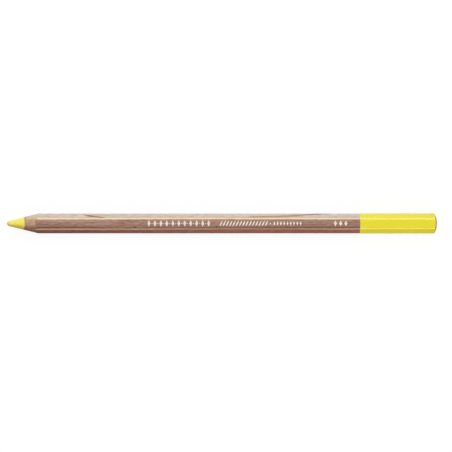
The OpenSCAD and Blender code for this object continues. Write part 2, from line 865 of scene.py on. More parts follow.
@dataclass(frozen=True)
class HandlingWear:
    """Faint rubbing and hairline scratches along the pencil."""

    rubbing: Grain = Grain((0.12, 0.5, 0.5), detail=3.0)
    hairline: Grain = Grain((0.16, 14.0, 14.0), detail=1.0)
    middle: float = 0.5
    line: Ramp = Ramp(0.012, 0.0)
    zones: Grain = Grain(scale=0.35, detail=1.0)
    zone: Ramp = Ramp(0.52, 0.62)

    def build(self) -> NodeTree:
        """Builds the node group.

        Returns:
            The group.
        """
        effect = Effect(
            "handling_wear",
            {"Vector": "Vector"},
            {"Rubbing": "Float", "Scratches": "Float"},
        )
        g = effect.graph
        where = effect.inputs["Vector"]
        off = g.math("ABSOLUTE", g.minus(g.grain(where, self.hairline), self.middle))
        zone = g.ramp(g.grain(where, self.zones), self.zone)
        return effect.give(
            Rubbing=g.grain(where, self.rubbing),
            Scratches=g.times(g.ramp(off, self.line), zone),
        )


class SharedEffects:
    """The effects that more than one finish uses, each built once."""

    def __init__(self) -> None:
        """Builds the node groups."""
        self.growth = GrowthRings().build()
        self.fibre = WoodFibre().build()
        self.dust = PigmentDust().build()
        self.wear = HandlingWear().build()


def new_material(name: str) -> tuple[Material, Graph, Node]:
    """Makes a material with an untouched Principled shader.

    Args:
        name: Name of the material.

    Returns:
        The material, its tree and its shader.
    """
    material = bpy.data.materials.new(name)
    graph = Graph(material)
    shader = graph.node("BsdfPrincipled")
    graph.show(shader.outputs["BSDF"])
    return material, graph, shader


# ---------------------------------------------------------------- finishes


@dataclass(frozen=True)
class Mark:
    """A streak, knot or fleck in the wood, or a painted highlight: a long rounded body in the
    grain.
    """

    start: Triple
    end: Triple
    width: float
    tint: Colour
    strength: float
    ragged: float = 0.35
    full: float = 0.55
    sunk: float = 0.0
    wobble: Grain = Grain((0.3, 2.0, 2.0))

    def mask(self, g: Graph, where: NodeSocket) -> NodeSocket:
        """Masks the body of the mark.

        Args:
            g: The tree to work in.
            where: The place on the wood, in millimetres.

        Returns:
            A mask that is strongest along the mark's middle.
        """
        start, end = Vector(self.start), Vector(self.end)
        along = end - start
        made = g.node("Mapping", vector_type="TEXTURE")
        g.put(made.inputs["Vector"], where)
        made.inputs["Location"].default_value = (start + end) / 2
        made.inputs["Rotation"].default_value = along.to_track_quat("X", "Z").to_euler()
        made.inputs["Scale"].default_value = (along.length / 2, self.width / 2, self.width / 2)
        wobble = g.minus(g.grain(where, self.wobble), 0.5)
        reach = g.plus(g.length(made.outputs[0]), g.times(wobble, self.ragged * 2))
        return g.times(g.fade(reach, 1.0, self.full), self.strength)


@dataclass(frozen=True)
class WoodSpot:
    """A place on the wood, as the sockets that its finish reads."""

    where: NodeSocket
    x: NodeSocket
    y: NodeSocket
    radius: NodeSocket
    past_core: NodeSocket
    # Mask of the painted sheen on the +Y side.
    painted_sheen: NodeSocket


@dataclass(frozen=True)
class SharpenedWood:
    """The cone's bare wood, with blade marks and pigment, a painted sheen on the +Y side and
    painted shade towards -Y.
    """

    bare: Colour = (0.680, 0.470, 0.285)
    blush: Colour = (0.560, 0.350, 0.245)
    # Painted sheen on the +Y side of the cut.
    painted_sheen: Colour = (0.650, 0.520, 0.385)
    stain: Colour = (0.440, 0.285, 0.090)
    # The stain in painted shade, on the -Y side.
    shaded_stain: Colour = (0.165, 0.098, 0.018)
    # Painted shade towards the -Y side of the cut.
    painted_shade_wood: Colour = (0.215, 0.090, 0.026)
    smear: Colour = (0.740, 0.600, 0.160)
    patches: Grain = Grain(scale=0.7, detail=3.0)
    patch_lean: float = -0.20
    patch_ramp: Ramp = Ramp(0.38, 0.60)
    freshness: float = 0.58
    # How the painted sheen takes over the cut's colour on the +Y side.
    sheen_freshness_drop: float = 0.30
    sheen_share: float = 0.80
    blade: Grain = Grain((12.0, 0.35, 0.35))
    blade_light: Span = (0.86, 1.14)
    stain_edge: Grain = Grain(scale=3.5, detail=3.0)
    stain_ragged: float = 0.10
    stain_reach: Ramp = Ramp(0.20, -0.02)
    # Painted shade: the stain grows stronger and darker towards -Y.
    stain_shade_side: Ramp = Ramp(1.2, -1.2)
    stain_shares: Span = (0.40, 0.95)
    stain_shade_ramp: Ramp = Ramp(0.4, -2.0)
    dust_reach: Ramp = Ramp(0.38, 0.0, 0.65)
    dust_side: Ramp = Ramp(0.6, -1.4)
    dust_shares: Span = (0.45, 0.12)
    # Where the painted shade on the cut lies, towards -Y with a wandering edge, and how much it
    # darkens.
    shade_stretch: Triple = (0.35, 1, 1)
    shade_grain: Grain = Grain(scale=0.6)
    shade_wander: float = 1.2
    shade_lean: float = 1.2
    shade_ramp: Ramp = Ramp(-0.4, -3.4)
    shade_share: float = 0.50
    shade_darkening: float = 0.32

    def colour(
        self, g: Graph, effects: SharedEffects, spot: WoodSpot, figure: NodeSocket, shift: Triple
    ) -> NodeSocket:
        """Paints the cut.

        Args:
            g: The tree to work in.
            effects: The shared effects.
            spot: The place on the wood.
            figure: The colour of the wood's own figure.
            shift: Where in the plank the slat lies.

        Returns:
            The colour.
        """
        patch = g.line(spot.y, self.patch_lean, g.grain(spot.where, self.patches))
        fresh = g.mix(g.ramp(patch, self.patch_ramp), self.bare, self.blush)
        # Painted sheen: the +Y side of the cut keeps less of the fresh colour and is painted paler.
        freshness = g.line(spot.painted_sheen, -self.sheen_freshness_drop, self.freshness)
        colour = g.mix(freshness, figure, fresh)
        colour = g.mix(g.times(spot.painted_sheen, self.sheen_share), colour, self.painted_sheen)
        colour = g.scale(colour, g.span(g.grain(spot.where, self.blade), *self.blade_light))
        colour = self.stained(g, spot, colour)
        near = g.ramp(spot.past_core, self.dust_reach)
        dust = g.use(effects.dust, Vector=spot.where, Amount=near)
        side = g.span(g.ramp(spot.y, self.dust_side), *self.dust_shares)
        colour = g.mix(g.times(dust.outputs["Mask"], side), colour, self.smear)
        # Painted shade: the -Y side of the cut is painted darker and then dimmed.
        seat = g.place(spot.where, self.shade_stretch, shift)
        lean = g.line(g.math("DIVIDE", spot.y, spot.radius), self.shade_lean, spot.y)
        wander = g.line(g.grain(seat, self.shade_grain), self.shade_wander, -self.shade_wander / 2)
        cone_shade = g.ramp(g.plus(lean, wander), self.shade_ramp)
        colour = g.mix(g.times(cone_shade, self.shade_share), colour, self.painted_shade_wood)
        return g.scale(colour, g.line(cone_shade, -self.shade_darkening, 1.0))

    def stained(self, g: Graph, spot: WoodSpot, colour: NodeSocket) -> NodeSocket:
        """Stains the wood next to the core, most on the -Y side, where painted shade also makes the
        stain darker.

        Args:
            g: The tree to work in.
            spot: The place on the wood.
            colour: The colour of the clean cut.

        Returns:
            The stained colour.
        """
        ragged = g.times(g.grain(spot.where, self.stain_edge), self.stain_ragged)
        reach = g.ramp(g.minus(spot.past_core, ragged), self.stain_reach)
        # The stain is painted stronger and darker towards -Y, as painted shade.
        side = g.span(g.ramp(spot.y, self.stain_shade_side), *self.stain_shares)
        stain = g.mix(g.ramp(spot.y, self.stain_shade_ramp), self.stain, self.shaded_stain)
        return g.mix(g.times(reach, side), colour, stain)


@dataclass(frozen=True)
class CedarFinish:
    """Clear-varnished cedar, bare where the sharpener has cut it."""

    name: str
    across: Triple
    spacing: float
    shift: Triple
    marks: tuple[Mark, ...] = ()
    # Where the painted sheen on the +Y side and the painted shade on the -Y side begin.
    sheen_from: float = 1.65
    shade_from: float = -2.1
    cut: SharpenedWood = SharpenedWood()
    early: Colour = (0.360, 0.198, 0.126)
    late: Colour = (0.200, 0.086, 0.048)
    rosy: Colour = (0.345, 0.180, 0.134)
    light_fibre: Colour = (0.520, 0.378, 0.288)
    deep_fibre: Colour = (0.160, 0.070, 0.040)
    # Painted sheen on the +Y side: warm, then greyer towards its outer edge.
    sheen_warm: Colour = (0.690, 0.522, 0.375)
    sheen_cool: Colour = (0.660, 0.568, 0.482)
    # Painted shade on the -Y side: darker and redder, less dark towards the rear.
    shaded_red: Colour = (0.193, 0.055, 0.027)
    shaded_red_rear: Colour = (0.335, 0.099, 0.056)
    # Mostly a painted highlight on the rounded edges, with a little wear.
    edge_highlight_and_wear: Colour = (0.870, 0.660, 0.480)
    pore: Colour = (0.090, 0.036, 0.020)
    late_share: float = 0.50
    rosy_grain: Grain = Grain((0.09, 0.22, 0.22))
    rosy_ramp: Ramp = Ramp(0.40, 0.62, 0.75)
    wander: Grain = Grain((0.05, 0.3, 0.3), detail=1.0)
    sheen_wander: float = 0.5
    sheen_ramp: Ramp = Ramp(-0.25, 0.25, 0.92)
    sheen_cool_ramp: Ramp = Ramp(0.8, 1.9, 0.85)
    # Where and how strongly the painted shade on the -Y side is laid on.
    shaded_red_wander: float = 0.4
    shaded_red_ramp: Ramp = Ramp(0.50, 0.0)
    shaded_red_share: float = 0.90
    shaded_red_run: Ramp = Ramp(-72.0, 16.0)
    calm_shaded_red: float = 0.72
    calm_sheen: float = 0.70
    light_ramp: Ramp = Ramp(0.49, 0.75, 0.50)
    deep_ramp: Ramp = Ramp(0.51, 0.26, 0.60)
    pore_share: float = 0.55
    shimmer_ramp: Ramp = Ramp(0.32, 0.68)
    shimmer_light: Span = (0.87, 1.13)
    planed_ramp: Ramp = Ramp(0.012, 0.035)
    lifted_x: float = -75.75
    flakes: Grain = Grain((1.0, 2.0, 2.0), detail=3.0)
    flake_length: float = 0.5
    flake_edge: float = 0.12
    # The painted highlight is strongest on the +Y side; the small share on every edge is wear.
    edge_highlight_ramp: Ramp = Ramp(-0.05, -0.01)
    highlight_share: float = 0.85
    wear_share: float = 0.03
    seam_ramp: Ramp = Ramp(0.035, 0.015, 0.6)
    fibre_roughness: float = 0.60
    rubbing: float = 0.16
    cut_roughness: float = 0.35
    specular: float = 0.25
    varnish_roughness: float = 0.22
    varnish_ior: float = 1.5
    scratch_depth: float = 0.4
    relief: float = 0.006 * MM

    def painted_sheen_side(self, g: Graph, where: NodeSocket, y: NodeSocket) -> NodeSocket:
        """Masks the +Y side, where a pale painted sheen stands in for the light that this side
        catches.
        """
        wander = g.line(g.grain(where, self.wander), self.sheen_wander, -self.sheen_wander / 2)
        return g.ramp(g.plus(y, wander), self.sheen_ramp, self.sheen_from)

    def figure(self, g: Graph, effects: SharedEffects, spot: WoodSpot) -> tuple[NodeSocket, Node]:
        """Paints the wood's own figure, with a painted sheen on the +Y side and painted shade on
        the -Y side, before its marks.

        Args:
            g: The tree to work in.
            effects: The shared effects.
            spot: The place on the wood.

        Returns:
            The colour, and the fibre effect's node.
        """
        seat = g.place(spot.where, EVEN, self.shift)
        rings = g.use(effects.growth, Vector=seat, Across=self.across, Spacing=self.spacing)
        fibre = g.use(effects.fibre, Vector=seat)
        rosy = g.ramp(g.grain(seat, self.rosy_grain), self.rosy_ramp)
        colour = g.mix(rosy, self.early, self.rosy)
        colour = g.mix(g.times(rings.outputs["Latewood"], self.late_share), colour, self.late)
        # Painted sheen: the +Y side is painted pale, and greyer further out.
        colour = g.mix(spot.painted_sheen, colour, self.sheen_warm)
        colour = g.mix(g.ramp(spot.y, self.sheen_cool_ramp, self.sheen_from), colour, self.sheen_cool)
        # Painted shade: the -Y side is painted darker and redder.
        side = g.plus(spot.y, g.times(g.grain(seat, self.wander), self.shaded_red_wander))
        shaded_red = g.ramp(side, self.shaded_red_ramp, self.shade_from)
        shade_colour = g.mix(g.ramp(spot.x, self.shaded_red_run), self.shaded_red, self.shaded_red_rear)
        colour = g.mix(g.times(shaded_red, self.shaded_red_share), colour, shade_colour)
        # The fibres show less under the painted sheen and the painted shade.
        calm = g.line(shaded_red, -self.calm_shaded_red, 1.0)
        calm = g.line(spot.painted_sheen, -self.calm_sheen, calm, clamp=True)
        for pattern in (fibre.outputs["Fibre"], fibre.outputs["Shimmer"]):
            light = g.times(g.ramp(pattern, self.light_ramp), calm)
            colour = g.mix(light, colour, self.light_fibre)
            deep = g.times(g.ramp(pattern, self.deep_ramp), calm)
            colour = g.mix(deep, colour, self.deep_fibre)
        pores = g.times(g.times(fibre.outputs["Pores"], calm), self.pore_share)
        return g.mix(pores, colour, self.pore), fibre

    def varnished(self, g: Graph, form: PencilForm, spot: WoodSpot) -> NodeSocket:
        """Masks the wood that is still varnished.

        Args:
            g: The tree to work in.
            form: The pencil's form, which says where the wood is cut.
            spot: The place on the wood.

        Returns:
            The mask: 0 on the cone, and where flakes have lifted behind it.
        """
        cone = g.times(g.minus(spot.x, form.apex_x / MM), math.tan(form.cone_angle))
        planed = g.ramp(g.minus(cone, spot.radius), self.planed_ramp)
        first = self.lifted_x - self.flake_length / 2
        chip = g.line(g.grain(spot.where, self.flakes), self.flake_length, first)
        return g.times(planed, g.fade(spot.x, chip, g.plus(chip, self.flake_edge)))

    def material(self, form: PencilForm, effects: SharedEffects) -> Material:
        """Builds the finish.

        Args:
            form: The pencil's form, which says where the wood is cut.
            effects: The shared effects.

        Returns:
            The material.
        """
        material, g, shader = new_material(self.name)
        where = g.millimetres()
        x, y, z = g.split(where)
        past_core = g.minus(g.distance(where, form.glue_z), form.core_r / MM)
        radius = g.distance(where, form.axis_z)
        spot = WoodSpot(where, x, y, radius, past_core, self.painted_sheen_side(g, where, y))
        varnished = self.varnished(g, form, spot)
        cut = g.minus(1.0, varnished)

        colour, fibre = self.figure(g, effects, spot)
        coat = varnished
        for mark in self.marks:
            mask = mark.mask(g, where)
            colour = g.mix(mask, colour, mark.tint)
            if mark.sunk:
                coat = g.times(coat, g.line(mask, -mark.sunk, 1.0))
        shimmer = g.ramp(fibre.outputs["Shimmer"], self.shimmer_ramp)
        colour = g.scale(colour, g.span(shimmer, *self.shimmer_light))
        # Painted highlight along the rounded edges, strongest on the +Y side, with a faint share of
        # wear on every edge.
        corner = (form.edge_ring_r + form.edge_r) / MM
        edge = g.times(g.ramp(radius, self.edge_highlight_ramp, corner), varnished)
        share = g.line(spot.painted_sheen, self.highlight_share, self.wear_share)
        colour = g.mix(g.times(edge, share), colour, self.edge_highlight_and_wear)
        colour = g.mix(cut, colour, self.cut.colour(g, effects, spot, colour, self.shift))
        seam = g.ramp(g.math("ABSOLUTE", g.minus(z, form.glue_z / MM)), self.seam_ramp)
        g.put(shader.inputs["Base Color"], g.mix(seam, colour, self.pore))

        wear = g.use(effects.wear, Vector=where)
        smoothest = self.fibre_roughness - self.rubbing / 2
        rough = g.line(wear.outputs["Rubbing"], self.rubbing, smoothest)
        g.put(shader.inputs["Roughness"], g.line(cut, self.cut_roughness, rough, clamp=True))
        shader.inputs["Specular IOR Level"].default_value = self.specular
        coat = g.times(coat, g.line(wear.outputs["Scratches"], -self.scratch_depth, 1.0))
        g.put(shader.inputs["Coat Weight"], coat)
        shader.inputs["Coat Roughness"].default_value = self.varnish_roughness
        shader.inputs["Coat IOR"].default_value = self.varnish_ior
        height = g.line(g.grain(where, self.cut.blade), cut, fibre.outputs["Height"])
        g.put(shader.inputs["Normal"], g.bump(height, self.relief))
        return material


@dataclass(frozen=True)
class LacquerFinish:
    """Glossy dip lacquer, with the slight waviness of a film that has run."""

    name: str = "yellow_lacquer"
    body: Colour = (0.855, 0.742, 0.026)
    thin: Colour = (0.885, 0.790, 0.085)
    cloud: Grain = Grain((0.15, 0.5, 0.5))
    cloud_share: float = 0.35
    rim_ramp: Ramp = Ramp(0.35, 0.0, 0.6)
    scratch_share: float = 0.12
    specular: float = 0.7
    roughness: float = 0.16
    rubbing: float = 0.10
    scratch_roughness: float = 0.15
    peel: Grain = Grain((0.6, 1.1, 1.1), detail=1.0)
    sinking: Grain = Grain((0.10, 4.0, 4.0))
    sinking_share: float = 0.25
    scratch_depth: float = 0.10
    relief: float = 0.003 * MM

    def material(self, form: PencilForm, effects: SharedEffects) -> Material:
        """Builds the finish.

        Args:
            form: The pencil's form, which says where the film ends.
            effects: The shared effects.

        Returns:
            The material.
        """
        material, g, shader = new_material(self.name)
        where = g.millimetres()
        x, _, _ = g.split(where)
        wear = g.use(effects.wear, Vector=where)
        scratches = wear.outputs["Scratches"]
        cloud = g.times(g.grain(where, self.cloud), self.cloud_share)
        colour = g.mix(cloud, self.body, self.thin)
        colour = g.mix(g.ramp(x, self.rim_ramp, form.dip_x / MM), colour, self.thin)
        colour = g.mix(g.times(scratches, self.scratch_share), colour, self.thin)
        g.put(shader.inputs["Base Color"], colour)
        smoothest = self.roughness - self.rubbing / 2
        rough = g.line(wear.outputs["Rubbing"], self.rubbing, smoothest)
        rough = g.line(scratches, self.scratch_roughness, rough)
        g.put(shader.inputs["Roughness"], rough)
        shader.inputs["Specular IOR Level"].default_value = self.specular
        height = g.line(g.grain(where, self.sinking), self.sinking_share, g.grain(where, self.peel))
        height = g.line(scratches, -self.scratch_depth, height)
        g.put(shader.inputs["Normal"], g.bump(height, self.relief))
        return material


@dataclass(frozen=True)
class PastelFinish:
    """Pressed chalk and pigment: dead matt, dusty and a little crumbled."""

    name: str = "yellow_pastel"
    body: Colour = (0.980, 0.870, 0.145)
    dusty: Colour = (0.980, 0.885, 0.245)
    dull: Colour = (0.720, 0.500, 0.070)
    # Painted highlight on the +Y side of the stick.
    core_highlight: Colour = (0.890, 0.870, 0.310)
    # Painted shade towards -Y: warmer first, then olive.
    core_shade_warm: Colour = (0.930, 0.660, 0.105)
    core_shade: Colour = (0.470, 0.370, 0.016)
    chipped: Colour = (0.930, 0.760, 0.240)
    smudged: Colour = (0.500, 0.330, 0.165)
    # The rim's smear in painted shade, on the -Y side.
    shaded_smear: Colour = (0.110, 0.062, 0.028)
    # Painted shade on the very point.
    tip_shade: Colour = (0.400, 0.350, 0.090)
    dust_amount: float = 0.55
    dust_share: float = 0.6
    cloud: Grain = Grain(scale=0.9, detail=3.0)
    dull_ramp: Ramp = Ramp(0.48, 0.70, 0.18)
    least_radius: float = 0.2
    side_wander: float = 0.30
    # Ramps of the painted highlight and the painted shade across the stick.
    core_highlight_ramp: Ramp = Ramp(0.10, 0.70, 0.80)
    core_shade_warm_ramp: Ramp = Ramp(0.25, -0.25, 0.50)
    core_shade_ramp: Ramp = Ramp(-0.10, -0.85, 0.90)
    chipped_ramp: Ramp = Ramp(-0.30, -0.12, 0.50)
    shaded_ramp: Ramp = Ramp(-0.25, -0.95)
    shaded_reach: float = 0.10
    rim_grain: Grain = Grain(scale=4.0, detail=3.0)
    rim_ragged: float = 0.08
    rim_ramp: Ramp = Ramp(-0.09, 0.0, 0.85)
    tip_ramp: Ramp = Ramp(1.1, 0.0, 0.75)
    roughness: float = 0.92
    diffuse_roughness: float = 0.3
    specular: float = 0.25
    grit: Grain = Grain(scale=7.0, detail=5.0)
    strokes: Grain = Grain((9.0, 1.0, 1.0))
    stroke_share: float = 0.3
    relief: float = 0.045 * MM

    def material(self, form: PencilForm, effects: SharedEffects) -> Material:
        """Builds the finish.

        Args:
            form: The pencil's form, which says where the point is.
            effects: The shared effects.

        Returns:
            The material.
        """
        material, g, shader = new_material(self.name)
        where = g.millimetres()
        x, y, _ = g.split(where)
        cloud = g.grain(where, self.cloud)
        dust = g.use(effects.dust, Vector=where, Amount=self.dust_amount)
        colour = g.mix(g.times(dust.outputs["Mask"], self.dust_share), self.body, self.dusty)
        colour = g.mix(g.ramp(cloud, self.dull_ramp), colour, self.dull)
        radius = g.math("MAXIMUM", g.distance(where, form.axis_z), self.least_radius)
        wander = g.line(cloud, self.side_wander, -self.side_wander / 2)
        side = g.plus(g.math("DIVIDE", y, radius), wander)
        # Painted light across the stick: a painted highlight towards +Y, painted shade towards -Y.
        for ramp, tint in (
            (self.core_highlight_ramp, self.core_highlight),
            (self.core_shade_warm_ramp, self.core_shade_warm),
            (self.core_shade_ramp, self.core_shade),
        ):
            colour = g.mix(g.ramp(side, ramp), colour, tint)
        reach = g.minus(g.distance(where, form.glue_z), form.core_r / MM)
        colour = g.mix(g.ramp(reach, self.chipped_ramp), colour, self.chipped)
        # The smear on the rim reaches further and turns darker towards -Y, as painted shade.
        shaded = g.ramp(side, self.shaded_ramp)
        smear = g.line(shaded, self.shaded_reach, reach)
        smear = g.line(g.grain(where, self.rim_grain), self.rim_ragged, smear)
        smear_and_shade = g.mix(shaded, self.smudged, self.shaded_smear)
        colour = g.mix(g.ramp(smear, self.rim_ramp), colour, smear_and_shade)
        # Painted shade darkens the very point.
        colour = g.mix(g.ramp(x, self.tip_ramp, form.point_x / MM), colour, self.tip_shade)
        g.put(shader.inputs["Base Color"], colour)
        shader.inputs["Roughness"].default_value = self.roughness
        shader.inputs["Diffuse Roughness"].default_value = self.diffuse_roughness
        shader.inputs["Specular IOR Level"].default_value = self.specular
        height = g.line(g.grain(where, self.strokes), self.stroke_share, g.grain(where, self.grit))
        g.put(shader.inputs["Normal"], g.bump(height, self.relief))
        return material


@dataclass(frozen=True)
class FoilFinish:
    """White pigment foil, pressed into the varnish and broken by the pores."""

    name: str = "white_foil"
    body: Colour = (0.870, 0.770, 0.700)
    shadow: Colour = (0.700, 0.580, 0.500)
    shadow_ramp: Ramp = Ramp(0.6, 0.3)
    pore_gap: float = 0.6
    roughness: float = 0.5
    relief: float = 0.004 * MM

    def material(self, effects: SharedEffects) -> Material:
        """Builds the finish.

        Args:
            effects: The shared effects.

        Returns:
            The material.
        """
        material, g, shader = new_material(self.name)
        fibre = g.use(effects.fibre, Vector=g.millimetres())
        between = g.ramp(fibre.outputs["Fibre"], self.shadow_ramp)
        g.put(shader.inputs["Base Color"], g.mix(between, self.body, self.shadow))
        g.put(shader.inputs["Alpha"], g.line(fibre.outputs["Pores"], -self.pore_gap, 1.0))
        shader.inputs["Roughness"].default_value = self.roughness
        g.put(shader.inputs["Normal"], g.bump(fibre.outputs["Height"], self.relief))
        return material


@dataclass(frozen=True)
class GlueFinish:
    """Dried wood glue, darkened by pigment."""

    name: str = "dried_glue"
    body: Colour = (0.300, 0.200, 0.060)
    clear: Colour = (0.420, 0.300, 0.110)
    cloud: Grain = Grain(scale=2.5, detail=3.0)
    roughness: Span = (0.35, 0.6)

    def material(self) -> Material:
        """Builds the finish.

        Returns:
            The material.
        """
        material, g, shader = new_material(self.name)
        cloud = g.grain(g.millimetres(), self.cloud)
        g.put(shader.inputs["Base Color"], g.mix(cloud, self.body, self.clear))
        g.put(shader.inputs["Roughness"], g.span(cloud, *self.roughness))
        return material


# ---------------------------------------------------------------- sub-assemblies


@dataclass
class PastelCore:
    """The pressed stick, bared and worn round at the point."""

    form: PencilForm
    finish: PastelFinish = field(default_factory=PastelFinish)
    columns: int = 96
    ball_rings: int = 16
    cone_rings: int = 44
    body_rings: int = 4
    rear_rings: int = 4
    crumble: float = 0.035 * MM
    crumble_size: float = 0.9 * MM
    crumble_shares: Triple = (0.5, 0.35, 0.15)
    finer: float = 3.7
    firm_power: int = 6
    angles: list[float] = field(default_factory=list)

    def place(self, ring: int, column: int, wall: Wall) -> Vector:
        """Finds a point of the stick.

        Args:
            ring: Number of the ring, from the point.
            column: Number of the column round the stick.
            wall: Unused, as the stick has one skin.

        Returns:
            The point.
        """
        form = self.form
        side = form.core_point(form.core_r, self.angles[column])
        reach = form.radius_of(side)
        angle = form.angle_of(side)
        cone_start = self.ball_rings
        body_start = cone_start + self.cone_rings
        rear_start = body_start + self.body_rings
        tangent_r = form.point_r * math.cos(form.cone_angle)
        if ring <= cone_start:
            turn = (math.pi / 2 - form.cone_angle) * ring / self.ball_rings
            radius = form.point_r * math.sin(turn)
            x = form.front_x(radius)
        elif ring <= body_start:
            share = (ring - cone_start) / self.cone_rings
            radius = tangent_r + share * (reach - tangent_r)
            x = form.front_x(radius)
        elif ring < rear_start:
            share = (ring - body_start) / self.body_rings
            radius = reach
            x = form.front_x(reach) + share * (form.rear_x(reach) - form.front_x(reach))
        else:
            share = 1 - (ring - rear_start) / self.rear_rings
            radius = share * reach
            x = form.rear_x(radius)
        point = form.axis_point(radius, angle)
        point.x = x
        if ring < body_start:
            point -= self.lost(point, radius / reach)
        return point

    def lost(self, point: Vector, share: float) -> Vector:
        """Says how far chalk has crumbled away at a place.

        Args:
            point: The place on the true form.
            share: How far out it is, from 0 on the axis to 1 at the wood.

        Returns:
            The move from the worn surface to the true form.
        """
        coarse = noise.noise(point / self.crumble_size)
        fine = noise.noise(point / self.crumble_size * self.finer)
        base, coarse_share, fine_share = self.crumble_shares
        rough = base + coarse_share * coarse + fine_share * fine
        amount = self.crumble * rough * (1 - share**self.firm_power)
        core_r = self.form.core_r
        outward = Vector((-1 + share, point.y / core_r, (point.z - self.form.axis_z) / core_r))
        return outward.normalized() * amount

    def build(self, effects: SharedEffects) -> Object:
        """Builds the piece.

        Args:
            effects: The shared effects.

        Returns:
            The finished object.
        """
        work = Workpiece("pastel_core")
        work.draw_disc(self.form.core_r, self.form.glue_z, self.columns)
        self.angles = work.number_columns(self.form.glue_z)
        work.draw_out(self.ball_rings + self.cone_rings + self.body_rings + self.rear_rings)
        work.set_form(self.place)
        return work.finish(self.finish.material(self.form, effects), "pastel", "core")


@dataclass
class GlueSleeve:
    """The film of glue between the stick and its two grooves."""

    form: PencilForm
    finish: GlueFinish = field(default_factory=GlueFinish)
    columns: int = 96
    rings: int = 6
    clear: float = 0.002 * MM
    angles: list[float] = field(default_factory=list)

    def place(self, ring: int, column: int, wall: Wall) -> Vector:
        """Finds a point of the sleeve.

        Args:
            ring: Number of the ring, from the point.
            column: Number of the column round the sleeve.
            wall: Which skin the point is on.

        Returns:
            The point.
        """
        form = self.form
        outer = wall is Wall.OUTER
        radius = form.groove_r - self.clear if outer else form.core_r + self.clear
        point = form.core_point(radius, self.angles[column])
        reach = form.radius_of(point)
        start, end = form.front_x(reach), form.rear_x(reach)
        point.x = start + (end - start) * ring / self.rings
        return point

    def build(self) -> Object:
        """Builds the piece.

        Returns:
            The finished object.
        """
        work = Workpiece("glue_sleeve")
        work.draw_disc(self.form.groove_r, self.form.glue_z, self.columns)
        self.angles = work.number_columns(self.form.glue_z)
        work.open_outline()
        work.add_inner_wall()
        work.draw_out(self.rings)
        work.set_form(self.place)
        return work.finish(self.finish.material(), None, None)


class Half(Enum):
    """The two halves of the casing."""

    UPPER = "upper"
    LOWER = "lower"


